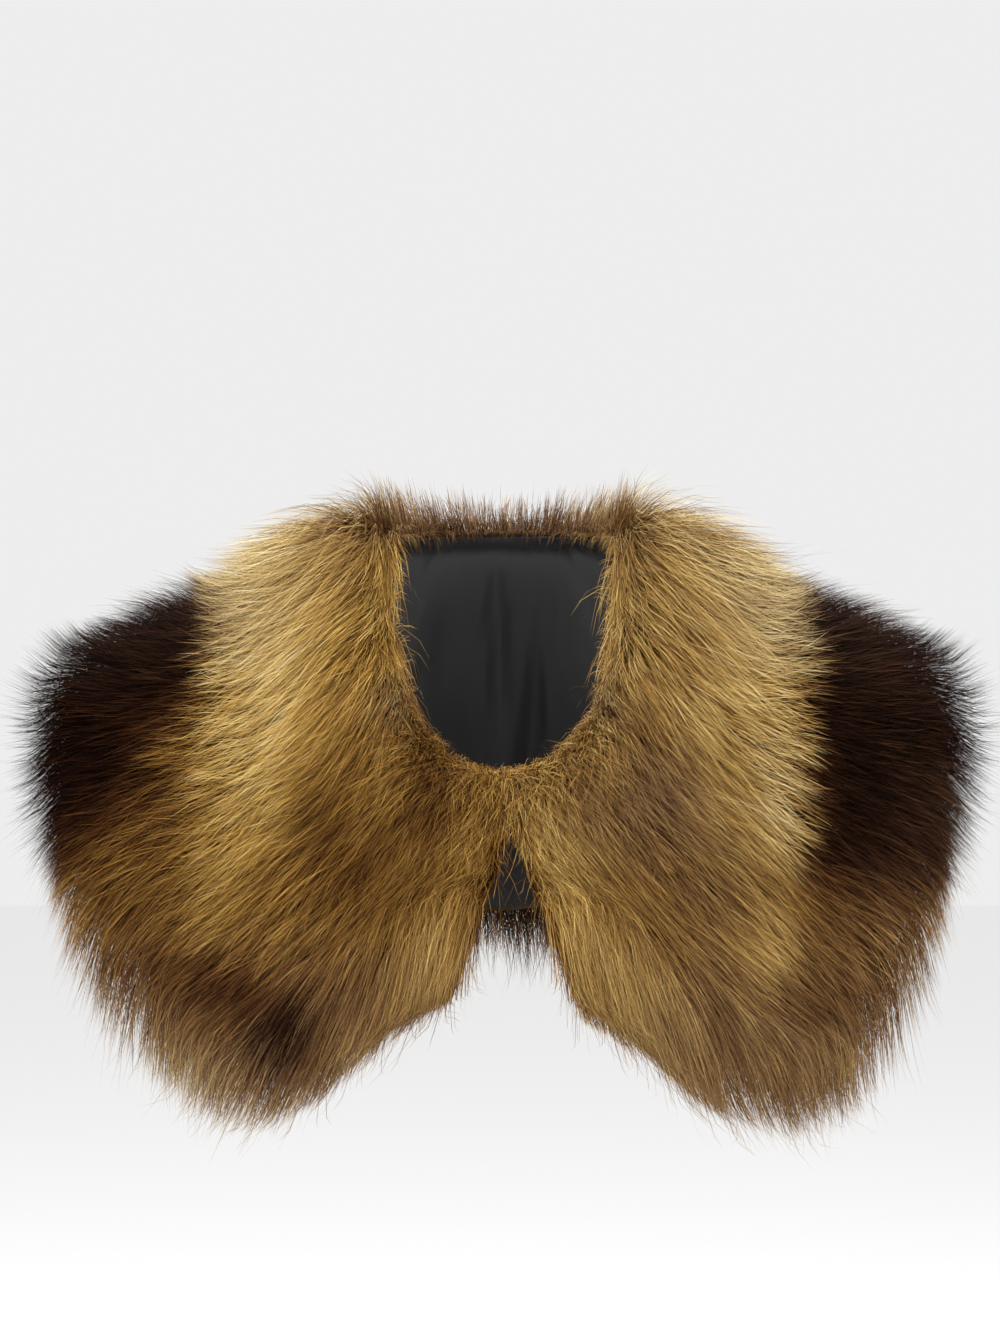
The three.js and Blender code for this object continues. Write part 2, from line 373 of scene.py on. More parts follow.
def hair_paint():
    """Long hair: its colour goes by the tone and ash that each hair carries in its map."""
    paint = Paint("long hair")
    place = paint.node("ShaderNodeUVMap", uv_map=HAIR_MAP)
    split = paint.node("ShaderNodeSeparateXYZ")
    paint.link(place.outputs["UV"], split.inputs[0])
    warm, ash = paint.ramp(WARM_TONES, HAIR_GAIN), paint.ramp(ASH_TONES, HAIR_GAIN)
    blend = paint.node("ShaderNodeMix", data_type="RGBA")
    paint.link(split.outputs["X"], warm.inputs[0])
    paint.link(split.outputs["X"], ash.inputs[0])
    paint.link(split.outputs["Y"], blend.inputs["Factor"])
    paint.link(warm.outputs["Color"], blend.inputs["A"])
    paint.link(ash.outputs["Color"], blend.inputs["B"])
    paint.link(blend.outputs["Result"], paint.surface.inputs["Base Color"])
    paint.set(Roughness=0.6, Specular_IOR_Level=0.02)
    return paint.material


def grain_paint(name, stops, scale, relief, relief_scale, **surface):
    """Cloth, hide, thread or wire: two or more colours by noise, and a fine relief."""
    paint = Paint(name)
    place = paint.node("ShaderNodeTexCoord")
    grain = paint.node("ShaderNodeTexNoise", Scale=scale, Detail=GRAIN_DETAIL)
    paint.link(place.outputs["Object"], grain.inputs["Vector"])
    ramp = paint.ramp(stops)
    paint.link(grain.outputs["Fac"], ramp.inputs[0])
    paint.link(ramp.outputs["Color"], paint.surface.inputs["Base Color"])
    fine = paint.node("ShaderNodeTexNoise", Scale=relief_scale, Detail=RELIEF_DETAIL)
    bump = paint.node("ShaderNodeBump", Strength=relief, Distance=RELIEF_DEPTH)
    paint.link(place.outputs["Object"], fine.inputs["Vector"])
    paint.link(fine.outputs["Fac"], bump.inputs["Height"])
    paint.link(bump.outputs["Normal"], paint.surface.inputs["Normal"])
    paint.set(**surface)
    return paint.material


# ---- Sheets: hide and lining ----

HIDE_COLUMNS = (37, 61)  # of points in a panel, and in the back
HIDE_ROWS = np.linspace(0, CUT_EDGE, 29)
HIDE_THICKNESS = 1.2 * MM
WALL_SMOOTH = 50  # degrees between faces up to which a sheet looks smooth
THREAD_SMOOTH = 60


def put_in_scene(name, mesh):
    piece = bpy.data.objects.new(name, mesh)
    bpy.context.scene.collection.objects.link(piece)
    return piece


def new_piece(name, points, faces, *materials):
    mesh = bpy.data.meshes.new(name)
    mesh.from_pydata(np.reshape(points, (-1, 3)).tolist(), [], faces)
    mesh.update()
    for material in materials:
        mesh.materials.append(material)
    return put_in_scene(name, mesh)


def grid_faces(columns, rows):
    i, j = np.meshgrid(np.arange(columns - 1), np.arange(rows - 1), indexing="ij")
    a = (i * rows + j).ravel()
    return np.stack([a, a + 1, a + rows + 1, a + rows], 1).tolist()


def select_only(piece):
    bpy.ops.object.select_all(action="DESELECT")
    piece.select_set(True)
    bpy.context.view_layer.objects.active = piece


def thicken(piece, thickness, offset, inner_material=False):
    """Gives a sheet its thickness, outwards with offset 1 and inwards with offset -1."""
    select_only(piece)
    wall = piece.modifiers.new("wall", "SOLIDIFY")
    wall.thickness = thickness
    wall.offset = offset
    wall.use_even_offset = True
    if inner_material:
        wall.material_offset = 1
    bpy.ops.object.modifier_apply(modifier=wall.name)
    bpy.ops.object.shade_smooth_by_angle(angle=math.radians(WALL_SMOOTH))


def add_hide(panel, outer_material, inner_material):
    """The hide under one panel's hair: a thin shell on the solid's own form."""
    columns = HIDE_COLUMNS[panel == "back"]
    share, t = np.meshgrid(np.linspace(0, 1, columns), HIDE_ROWS, indexing="ij")
    points, per_degree = sample(column_angle(panel, share, t), t, (POINT, PER_DEGREE))
    shift = np.zeros(columns)
    shift[0], shift[-1] = SEAM_GAP / 2, -SEAM_GAP / 2
    points = points + unit(per_degree) * shift[:, None, None]
    faces = grid_faces(columns, len(HIDE_ROWS))
    piece = new_piece("hide_" + panel, points, faces, outer_material, inner_material)
    thicken(piece, HIDE_THICKNESS, 1, inner_material=True)
    return piece


# The lining runs between these rings, inside the hide
LINING_EDGES = (0.04, 3.95)
LINING_COLUMNS = (33, 65)  # of points in a panel, and in the back
LINING_ROWS = np.linspace(*LINING_EDGES, 49)
LINING_CLEARANCE = 0.5 * MM
LINING_THICKNESS = 0.7 * MM
LINING_FRONT_SHARE = 1 / 48  # of a front panel, left bare beside the opening
# Creases of the lining: angle, width in degrees, degrees that it slants by a ring,
# first and last ring, depth in millimetres
CREASES = (
    (14, 3.0, 4, 0.2, 3.0, 1.2), (27, 2.2, 6, 0.9, 3.6, 1.6),
    (39, 3.4, 3, 0.3, 2.6, 1.0), (51, 2.4, 5, 1.4, 3.8, 2.0),
    (66, 3.0, -2, 0.4, 2.2, 1.4), (79, 2.6, 2, 1.6, 3.8, 2.2),
    (93, 3.6, -3, 0.3, 2.8, 1.3), (107, 2.4, 3, 1.8, 3.8, 2.1),
    (122, 3.0, -4, 0.5, 3.2, 1.6), (137, 2.2, 2, 1.2, 3.7, 1.8),
    (153, 3.2, -3, 0.3, 2.4, 1.1), (169, 2.6, 3, 1.5, 3.8, 1.9),
    (184, 3.0, -2, 0.4, 2.7, 1.4), (201, 2.4, 3, 1.3, 3.8, 2.0),
    (215, 3.2, -4, 0.3, 2.3, 1.2), (229, 2.4, 2, 1.6, 3.8, 2.2),
    (246, 3.0, 3, 0.5, 3.0, 1.5), (259, 2.2, -3, 1.7, 3.8, 2.0),
    (274, 3.4, 2, 0.3, 2.5, 1.2), (288, 2.4, -2, 1.5, 3.8, 2.1),
    (303, 3.0, -5, 0.6, 3.1, 1.6), (317, 2.6, -3, 1.3, 3.8, 1.9),
    (332, 3.0, -5, 0.3, 2.8, 1.2), (346, 2.2, -4, 1.0, 3.4, 1.3),
)
CREASE_BEGINS = 0.8  # rings over which a crease comes in, and dies out
CREASE_ENDS = 0.7
RIPPLE_DEPTH = 0.35 * MM
RIPPLES = 61  # round the neckline
RIPPLE_SWAY = (4, 2.3)  # how far each sways, and how often down the rings


def crease_depth(degrees, t):
    depth = np.zeros(np.broadcast(degrees, t).shape)
    for angle, width, slant, first, last, most in CREASES:
        line = degrees - angle - slant * (t - first)
        fade = band(t, first, first + CREASE_BEGINS, last - CREASE_ENDS, last)
        depth += most * MM * np.exp(-((line / width) ** 2)) * fade
    sway, often = RIPPLE_SWAY
    ripple = 0.5 + 0.5 * np.sin(np.radians(degrees) * RIPPLES + sway * np.sin(often * t))
    return depth + RIPPLE_DEPTH * ripple


def lining_columns():
    """Panel and share of each column of the lining, from the left front to the right."""
    columns = []
    for panel in PANELS:
        low = LINING_FRONT_SHARE if panel == "front_left" else 0
        high = 1 - LINING_FRONT_SHARE if panel == "front_right" else 1
        shares = np.linspace(low, high, LINING_COLUMNS[panel == "back"])
        if columns:
            shares = shares[1:]
        columns += [(panel, share) for share in shares]
    return columns


def add_lining(material):
    """The satin lining: one sheet inside the hide, drawn into soft creases."""
    lines = []
    for panel, share in lining_columns():
        degrees = column_angle(panel, share, LINING_ROWS)
        point, out = sample(degrees, LINING_ROWS)
        depth = LINING_CLEARANCE + crease_depth(degrees, LINING_ROWS)
        lines.append(point - out * depth[:, None])
    faces = grid_faces(len(lines), len(LINING_ROWS))
    piece = new_piece("lining_satin", lines, faces, material)
    thicken(piece, LINING_THICKNESS, -1)
    return piece


# ---- Stitches ----

THREAD_RADIUS = 0.22 * MM
THREAD_SIDES = 4
THREAD_ENDS = 0.25  # how blunt a thread's ends are, in radians of its swell
OFF_THREADS = np.array([0.3, 0.5, 0.81])  # a direction that no thread runs in
STITCH_STEP = 6 * MM
STITCH_POINTS = 4
STITCH_BOW = 0.5 * MM
STITCH_RINGS = 0.05  # a stitch reaches this far over the lining's edge, in rings
STITCH_SLANT = 2.2 * MM
STITCHED_SHARES = np.linspace(0.03, 0.99, 400)  # of a panel's width
FRONT_STITCHES = np.arange(0.3, 3.7, 0.1)  # rings of the stitches beside the opening
FRONT_STITCH_ENDS = (0.6, 1.8)  # from and to, in widths of the bare strip there
FRONT_STITCH_SLANT = 0.03  # rings


def tubes(lines, radius, sides):
    """Thin tubes along many short lines of points, as one array of points and faces."""
    lines = np.asarray(lines)
    count, steps = lines.shape[:2]
    way = unit(np.gradient(lines, axis=1))
    side = unit(np.cross(way, OFF_THREADS))
    up = np.cross(side, way)
    angles = np.linspace(0, 2 * math.pi, sides, endpoint=False)[:, None]
    rim = side[:, :, None] * np.cos(angles) + up[:, :, None] * np.sin(angles)
    swell = np.sin(np.linspace(THREAD_ENDS, math.pi - THREAD_ENDS, steps))
    swell = np.clip(swell[None, :, None, None] * 2, 0, 1)
    points = lines[:, :, None] + rim * radius * swell
    faces = []
    for low in range(0, (steps - 1) * sides, sides):
        for k in range(sides):
            beside = (k + 1) % sides
            faces.append([low + k, low + beside, low + sides + beside, low + sides + k])
    faces.append(list(range(sides))[::-1])
    faces.append(list(range((steps - 1) * sides, steps * sides)))
    tube_size = steps * sides
    starts = range(0, count * tube_size, tube_size)
    return points, [[start + k for k in face] for start in starts for face in faces]


def add_threads(name, lines, material):
    piece = new_piece(name, *tubes(lines, THREAD_RADIUS, THREAD_SIDES), material)
    select_only(piece)
    bpy.ops.object.shade_smooth_by_angle(angle=math.radians(THREAD_SMOOTH))
    return piece


def stitch_line(start, stop, out):
    """One slip stitch from the hide over the lining's edge, bowed off the cloth."""
    steps = np.linspace(0, 1, STITCH_POINTS)[:, None]
    lift = LINING_CLEARANCE + LINING_THICKNESS + np.sin(steps * math.pi) * STITCH_BOW
    return start + (stop - start) * steps - out * lift


def edge_stitches(panel, edge, inwards):
    """The stitches of one panel, over the lining's neckline or hem edge."""
    degrees = column_angle(panel, STITCHED_SHARES, np.full(len(STITCHED_SHARES), edge))
    path, _ = sample(degrees, np.full(len(degrees), edge))
    run = np.cumsum(np.linalg.norm(np.diff(path, axis=0), axis=1))
    run = np.concatenate([[0], run])
    for at in np.arange(0, run[-1], STITCH_STEP):
        angle = np.interp(at, run, degrees)
        start, out = sample_one(angle, edge - inwards * STITCH_RINGS)
        stop, per_degree = sample_one(
            angle, edge + inwards * STITCH_RINGS, (POINT, PER_DEGREE)
        )
        yield stitch_line(start, stop + unit(per_degree) * STITCH_SLANT, out)


def front_stitches(panel):
    """The stitches of one front, over the lining's edge beside the opening."""
    shares = [LINING_FRONT_SHARE * width for width in FRONT_STITCH_ENDS]
    if panel == "front_right":
        shares = [1 - share for share in shares]
    for ring in FRONT_STITCHES:
        (start, out), (stop, _) = (
            sample_one(column_angle(panel, share, t), t)
            for share, t in zip(shares, (ring, ring + FRONT_STITCH_SLANT))
        )
        yield stitch_line(start, stop, out)


def add_stitches(material):
    """Slip stitches that hold the lining to the hide, all along its four edges."""
    lines = []
    for edge, inwards in zip(LINING_EDGES, (1, -1)):
        for panel in PANELS:
            lines += edge_stitches(panel, edge, inwards)
    for panel in ("front_left", "front_right"):
        lines += front_stitches(panel)
    return add_threads("lining_stitches", lines, material)


# ---- Thread over the hook and eye ----

CLASP_RING = 0.5
CLASP_OFF = (0.3 + 1.5 + 0.6 + 0.9) * MM  # clearance, lining, seat and the wire's radius
WRAP_RADIUS = 1.15 * MM
WRAP_PITCH = 0.3 * MM
WRAP_ANGLES = np.linspace(0, 2 * math.pi, 13)[:, None]
# Thread wraps over the wires: place across the opening and up, in millimetres
WRAPS = (
    (12.2, 4.2), (11.2, 4.2), (10.2, 4.2), (12.2, -4.2), (11.2, -4.2), (10.2, -4.2),
    (-12.2, 1.7), (-11.2, 1.6), (-10.2, 1.2),
)


def clasp_point(across, up, lift):
    """A point on the wires' level, by millimetres across the opening, up and off it."""
    angle = np.degrees(np.arctan2((FRONT_GAP_CENTRE + across), RINGS[0][1])) % 360
    neckline, roll = (sample_one(angle, ring)[0] for ring in (0.0, 1.0))
    roll_width = np.linalg.norm(roll - neckline) / MM
    point, out = sample_one(angle, CLASP_RING - up / roll_width)
    return (point - out * (CLASP_OFF + lift * MM))[0]


def add_clasp_threads(material):
    """Wraps of thread that sew the hook and the eye down."""
    lines = []
    for across, up in WRAPS:
        middle = clasp_point(across, up, 0)
        way = unit(clasp_point(across + 1, up, 0) - middle)
        off = unit(clasp_point(across, up, 1) - middle)
        ring = np.cross(way, off) * np.cos(WRAP_ANGLES) + off * np.sin(WRAP_ANGLES)
        run = WRAP_PITCH * (WRAP_ANGLES / (2 * math.pi) - 0.5)
        lines.append(middle + ring * WRAP_RADIUS + way * run)
    return add_threads("clasp_threads", lines, material)


# ---- The fur's colours by place ----

# Tones run from 0, near black, to 1, cream, and ash from 0, warm, to 1. Places are in
# millimetres across and up from the part's origin. A pair holds the right and the left
# side's value, or the range over which one colour turns into the next.
DARK_BEGINS = 150  # how far out the dark fur of the shoulders begins
DARK_WAVES = ((4, 17), (2, 6.3))  # its uneven edge: size and length of each wave
# How that edge shifts, right and left: low down, higher up, the turn between them, then
# further at the top, and where that begins
DARK_SHIFTS = ((7, 0, (-110, -60), 6, (-25, 5)), (-7, 9, (-95, -40), -10, (-30, 0)))
EDGE_INSIDE = (12, 8)
EDGE_OUTSIDE = (8, 6)
DARK_TONE = 0.075
BROWN_TONE = 0.39
SLANT_TOP, SLANT_STEEP, SLANT_BEGINS = 35, 1.3, 157  # where the right side turns brown
SLANT_BROWNS = (-18, 58)
LEVEL_BROWNS = (104, 168)
INNER_TONE = (0.43, 0.49)
GOLD_TONE = (0.73, 0.70)
GOLD_BEGINS, GOLD_LATER, GOLD_WIDE = 46, 22, 54  # later low on the right
GOLD_LATER_BELOW = (36, 80)
SHADE, SHADE_WIDE, SHADE_HIGH = 0.08, (90, 120, 120, 140), (-60, -10)
HEM_TONE, HEM_BELOW = 0.43, (78, 150)
ASH = 0.08
LEFT_ASH, LEFT_ASH_WIDE = (0.12, 0.34), (150, 185)
UPPER_ASH, UPPER_ASH_WIDE, UPPER_ASH_HIGH = 0.65, (84, 130), (-60, -5)
HEM_ASH, HEM_ASH_BELOW = 0.62, (140, 205)
TOP_ASH, TOP_ASH_HIGH = 0.75, (10, 44)
BACK_TONE, BACK_WIDE, BACK_FADE, BACK_SHARE = 0.34, 60, 40, 0.8
LOW_NECK_TONE, NECK_TONE, NECK_HIGH = 0.50, (0.61, 0.65), (-70, -15)
# Painted shade on the fur at the top of the neckline, beside the neck: how much darker on
# the right and left, and the heights over which it comes in
NECK_TOP_SHADE, NECK_TOP_SHADE_HIGH = (0.10, 0.12), (0, 30)
NECK_RINGS, NECK_SHARE = (0.4, 1.0), 0.85
# Painted light from above: the outer fur at the top is paler. Its share, where it begins
# and is whole on the right and left, and the heights over which it comes in
TOP_PAINTED_LIGHT, PALE_BEGINS, PALE_WHOLE, PALE_HIGH = 0.07, (104, 62), (130, 90), (-8, 20)

# Patches of colour on the two fronts, and of painted shadow, each a soft oval
FRONT_PATCHES = (
    # x, z, half_wide, half_high, tone, ash, how strongly it shows
    (-36, -92, 14, 34, 0.28, 0.1, 0.9),  # painted shadow of the parting fold beside the top of the opening
    (-50, -150, 20, 30, 0.35, 0.1, 0.75),  # its lower end, painted shadow too
    (-86, -104, 15, 24, 0.28, 0.05, 0.75),  # brown inside the right front's gold
    (-68, -130, 15, 13, 0.25, 0.02, 0.7),  # reddish shade under it
    (-102, -204, 15, 13, -0.2, 0.3, 1.0),  # dark spot near the hem
    (-158, -177, 22, 18, 0.27, 0.2, 0.8),  # brown slant down the right side
    (-123, -184, 24, 14, 0.14, 0.12, 0.9),  # its inner end
    (-140, -208, 16, 12, 0.27, 0.2, 0.7),  # its lower side
    (-138, -122, 17, 32, 0.64, 0.1, 0.6),  # gold band down the right front
    (-16, -140, 13, 40, 0.52, 0.1, 0.8),  # gold edge of the right front
    (-31, -170, 16, 16, 0.59, 0.4, 0.8),  # pale lower corner of the right front
    (24, -140, 18, 48, 0.63, 0.2, 0.9),  # gold edge of the left front
    (76, -98, 30, 28, 0.35, 0.7, 0.95),  # mauve brown patch
    (40, -104, 16, 20, 0.45, 0.5, 0.6),  # its inner end
    (48, -71, 12, 11, 0.58, 0.3, 0.7),  # golden tips over it
    (100, -140, 20, 22, 0.37, 0.6, 0.7),  # its lower end
    (134, -96, 15, 32, 0.80, 0.55, 0.8),  # gold band down the left front
    (124, -160, 15, 19, 0.66, 0.3, 0.85),  # its lower end
    (150, -191, 17, 13, 0.25, 0.4, 0.75),  # brown under the band
    (60, -28, 14, 22, 0.64, 0.45, 0.5),  # fawn beside the neckline
    (50, -52, 12, 12, 0.54, 0.95, 0.6),  # ashy roll on the left
    (-53, -52, 12, 12, 0.52, 0.95, 0.6),  # ashy roll on the right
    (56, -184, 22, 18, 0.57, 0.3, 0.6),  # pale lower corner of the left front
    (213, -106, 16, 28, 0.22, 0.7, 0.85),  # ashy brown down the left side
    (68, 12, 18, 18, 0.42, 0.5, 0.65),  # browner streak inside the left front's gold
    (92, -28, 17, 28, 0.44, 0.4, 0.6),  # its middle
    (112, -80, 14, 28, 0.46, 0.3, 0.65),  # its lower end
    (-82, 10, 14, 14, 0.40, 0.5, 0.65),  # browner top of the right front
    (-100, -230, 26, 14, 0.31, 0.7, 0.8),  # brown hem of the right front
    (-150, -228, 26, 15, 0.56, 0.98, 0.85),  # its ashy outer end
    (128, -236, 30, 14, 0.34, 0.6, 0.7),  # brown hem of the left front
)


def dark_edge(x, z, left):
    """How far out the dark fur of the shoulders begins, at each height."""
    (size, length), (fine_size, fine_length) = DARK_WAVES
    uneven = size * np.sin(z / length + np.sign(x)) + fine_size * np.sin(z / fine_length)
    shifts = [
        mix(low, high, smoothstep(z, *turning)) + top * smoothstep(z, *top_begins)
        for low, high, turning, top, top_begins in DARK_SHIFTS
    ]
    return DARK_BEGINS + uneven + mix(*shifts, left)


def gold_tone(wide, z, left):
    """The fur inside the dark shoulders: brown at the front, gold further out."""
    begins = GOLD_BEGINS + GOLD_LATER * (1 - left) * smoothstep(-z, *GOLD_LATER_BELOW)
    goldness = smoothstep(wide, begins, begins + GOLD_WIDE)
    gold = mix(mix(*INNER_TONE, left), mix(*GOLD_TONE, left), goldness)
    gold = gold - SHADE * left * band(wide, *SHADE_WIDE) * smoothstep(z, *SHADE_HIGH)
    return mix(gold, HEM_TONE, smoothstep(-z, *HEM_BELOW))


def shoulder_tone(wide, z, left):
    """Dark fur turning brown lower down: on a slant on the right, level on the left."""
    below_slant = -z - (SLANT_TOP + SLANT_STEEP * (wide - SLANT_BEGINS).clip(0))
    right_browned = smoothstep(below_slant, *SLANT_BROWNS)
    browned = mix(right_browned, smoothstep(-z, *LEVEL_BROWNS), left)
    return mix(DARK_TONE, BROWN_TONE, browned)


def fur_ash(wide, z, left):
    ash = ASH + left * mix(*LEFT_ASH, smoothstep(wide, *LEFT_ASH_WIDE))
    upper = smoothstep(wide, *UPPER_ASH_WIDE) * smoothstep(z, *UPPER_ASH_HIGH)
    ash = ash + UPPER_ASH * upper
    ash = mix(ash, HEM_ASH, smoothstep(-z, *HEM_ASH_BELOW))
    return mix(ash, TOP_ASH, smoothstep(z, *TOP_ASH_HIGH))


def fur_tone(x, z, t, is_front):
    """Tone and ash of the fur by place: dark over the shoulders, gold inside them."""
    wide, left = np.abs(x), (x > 0) * 1.0
    edge = dark_edge(x, z, left)
    inside, outside = edge - mix(*EDGE_INSIDE, left), edge + mix(*EDGE_OUTSIDE, left)
    on_shoulder = smoothstep(wide, inside, outside)
    tone = mix(gold_tone(wide, z, left), shoulder_tone(wide, z, left), on_shoulder)
    ash = fur_ash(wide, z, left)
    behind = (1 - is_front) * smoothstep(BACK_WIDE - wide, 0, BACK_FADE)
    tone = mix(tone, BACK_TONE, behind * BACK_SHARE)
    neck = (1 - smoothstep(t, *NECK_RINGS)) * is_front
    fawn = mix(LOW_NECK_TONE, mix(*NECK_TONE, left), smoothstep(z, *NECK_HIGH))
    # painted shade at the top of the neckline, beside the neck
    fawn = fawn - mix(*NECK_TOP_SHADE, left) * smoothstep(z, *NECK_TOP_SHADE_HIGH)
    tone = mix(tone, fawn, neck * NECK_SHARE)
    # painted light from above, paler on the top of the outer fur
    outer = smoothstep(wide, mix(*PALE_BEGINS, left), mix(*PALE_WHOLE, left))
    tone = tone + TOP_PAINTED_LIGHT * outer * smoothstep(z, *PALE_HIGH)
    for px, pz, half_wide, half_high, to, to_ash, strength in FRONT_PATCHES:
        near = np.exp(-(((x - px) / half_wide) ** 2 + ((z - pz) / half_high) ** 2))
        near = near * strength * is_front
        tone, ash = mix(tone, to, near), mix(ash, to_ash, near)
    return tone, ash


# ---- The hair's lie ----

SEGMENTS = 3  # of one hair, the last one running out to its tip
ALONG = np.array([0, 0.36, 0.72, 1.0])  # where the points of a hair lie along it
# Waves of a slow swing: waves round the neckline, turn by ring, phase by seed, share
WANDER = ((7, 2.1, 1, 0.4), (13, -3.3, 2, 0.35), (23, 1.7, 3, 0.25))
PARTING = (-0.42, 0.10)  # ring at which the hair parts, in front and behind
PARTING_ANGLES = (70, 110)
PARTING_WIDE = 0.36
BESIDE_NECKLINE = (22, 50, 96, 124)  # angles over which the hair turns forwards
SWIRL = 1.95  # radians that it turns at the neckline there
SWIRL_RINGS = (-0.1, 1.35)
SWIRL_EASES = 0.25  # share of the turn that is lost along a hair
FUZZ_DOWN, FUZZ_AROUND = -0.85, 0.35
DROP_ANGLES, DROP_RINGS = (56, 76, 108, 128), (1.5, 2.6)
SWEEP = (0.40, 0.36)  # radians that the lower hair of the right and left front leans out
SWEEP_ANGLES, SWEEP_RINGS = (6, 30, 44, 72), (2.0, 3.2)
WHORL = (113, 10, 0.3, 0.35)  # beside the neckline, where the lie divides: a spot
CORNER = (90, 18, 2.72, 0.27)  # end of the shoulder
# Where the hair stands higher or lies flatter: a spot on the hide, and the change on the
# right and on the left side, as shares of the pile
SWELLS = (
    (96, 24, 0.8, 0.6, 0.16, 0.20),  # beside the neckline
    (90, 30, 1.72, 0.35, 0.20, 0.15),  # slope to the shoulder
    (90, 26, 2.50, 0.30, -0.28, -0.26),  # end of the shoulder
    (90, 24, 3.05, 0.28, 0.12, 0.13),  # top of the drop past it
    (84, 24, 3.80, 0.50, -0.24, -0.34),  # low on that drop
)
HEM_GROWTH, LOW_GROWTH, LOW_POINT = 0.08, 0.13, (52, 13)
SHORT_OF_TIPS = 0.02  # rings that the hair of the hem stays short of the tips' ring
SHORT_AT_GAP, GAP_ANGLES = 0.30, (14, 34)
SHORT_AT_SIDE, SHORT_SIDE = 0.10, (291, 14)


def wander(degrees, t, seed):
    """A slow, uneven swing between -1 and 1 over the surface."""
    a = np.radians(degrees)
    return sum(
        np.sin(turns * a + by_ring * t + phase * seed) * share
        for turns, by_ring, phase, share in WANDER
    )


def near_angle(degrees, angle, wide):
    """How near an angle is, on its own side only."""
    return np.exp(-(((np.asarray(degrees) - angle) / wide) ** 2))


def parting_ring(degrees):
    """The ring at which the hair parts. Inside it, hair lies inwards."""
    return mix(*PARTING, smoothstep(turn(degrees), *PARTING_ANGLES))


def hair_way(degrees, t, fuzz):
    """Shares of a hair's run down the rings and round them, at each point along it."""
    t, fuzz = t[:, None], fuzz[:, None]
    parted = np.clip((t - parting_ring(degrees)[:, None]) / PARTING_WIDE, -1, 1)
    beside = band(turn(degrees), *BESIDE_NECKLINE)[:, None]
    swirl = SWIRL * (1 - smoothstep(t, *SWIRL_RINGS)) * (1 - SWIRL_EASES * ALONG)
    down = mix(parted, np.cos(swirl), beside)
    around = -side_of(degrees)[:, None] * np.sin(swirl) * beside
    return mix(down, FUZZ_DOWN, fuzz), mix(around, FUZZ_AROUND * around, fuzz)


def drop_share(degrees, t):
    """How far a place is on the drop past a shoulder, where hair stands off the hide."""
    return band(turn(degrees), *DROP_ANGLES) * smoothstep(t, *DROP_RINGS)


def outward_sweep(degrees, t):
    """Lean of the lower hair of the fronts, away from the opening."""
    side = side_of(degrees)
    swept = band(turn(degrees), *SWEEP_ANGLES) * smoothstep(t, *SWEEP_RINGS)
    return side * np.where(side < 0, *SWEEP) * swept


def side_swell(degrees, t):
    """How much higher or lower than usual the hair stands at a place."""
    left = side_of(degrees) > 0
    return sum(
        spot(degrees, t, *place) * np.where(left, left_change, right_change)
        for *place, right_change, left_change in SWELLS
    )


def hem_growth(degrees):
    """How much longer the hair of the hem is, most at the low point of the left front."""
    return HEM_GROWTH + LOW_GROWTH * near_angle(degrees, *LOW_POINT)


def hem_reach(degrees):
    """The ring that hair reaches, shorter beside the opening and low on the right."""
    beside_gap = SHORT_AT_GAP * (1 - smoothstep(turn(degrees), *GAP_ANGLES))
    right_side = SHORT_AT_SIDE * near_angle(degrees, *SHORT_SIDE)
    return HAIR_TIPS - SHORT_OF_TIPS - beside_gap - right_side


# ---- Roots, locks and tufts ----

CANDIDATES = 4  # roots drawn for each one kept
PAST_EDGE = 0.02  # rings that roots run on past the cut edge
THICK_HEM, THICK_HEM_RINGS = 0.5, (3.2, 4.0)
THICK_NECK, THICK_NECK_RINGS = 0.9, (0.2, 0.9)
THICK_WHORL = 1.3
# Degrees and rings between the middles of neighbouring locks, and of larger tufts
LOCK_CELL, LOCK_SEED = (2.8, 0.12), 5
TUFT_CELL, TUFT_SEED = (13.0, 0.55), 9
LOCK_PRIMES = (7919, 104729, 31)
LOCK_NUMBERS = 1000003
LOCK_SCATTER = 0.42  # how far a middle strays from its cell's own
SCATTER_WAVES = (12.9898, 78.233)
VALUE_WAVES = (0.7548, 3.1, 1.917)
# How locks and tufts differ in a trait: its salt, and how much by lock and by tuft
TRAITS = {
    "length": (1, 0.12, 0.10), "rise": (3, 0.10, 0.06), "swing": (4, 0.12, 0),
    "reach": (5, 0.14, 0), "tone": (6, 0.06, 0.035), "ash": (8, 0.08, 0),
}
# Hair by kind: underfur, guard hair and stray wisps
KIND_SHARES = (0.34, 0.93)  # of all hair, where underfur ends and wisps begin
FUZZ_RING = 0.3  # underfur inside this ring stands inwards, as the neckline's soft edge


def draw_roots(rng, panel, count, stretch):
    """Roots evenly over a panel's hide, as shares across it and ring numbers."""
    share = rng.uniform(*stretch, CANDIDATES * count)
    t = rng.uniform(0, CUT_EDGE + PAST_EDGE, CANDIDATES * count)
    degrees = column_angle(panel, share, t)
    per_degree, per_ring = sample(degrees, t, (PER_DEGREE, PER_RING))
    area = np.linalg.norm(np.cross(per_degree, per_ring), axis=-1)
    thicker = THICK_HEM * smoothstep(t, *THICK_HEM_RINGS)
    thicker = thicker + THICK_NECK * (1 - smoothstep(t, *THICK_NECK_RINGS))
    area = area * (1 + thicker + THICK_WHORL * spot(degrees, t, *WHORL))
    chance = rng.uniform(0, 1, len(area)) ** (1 / area.clip(TINY))
    kept = np.argsort(chance)[::-1][:count]
    return share[kept], t[kept]


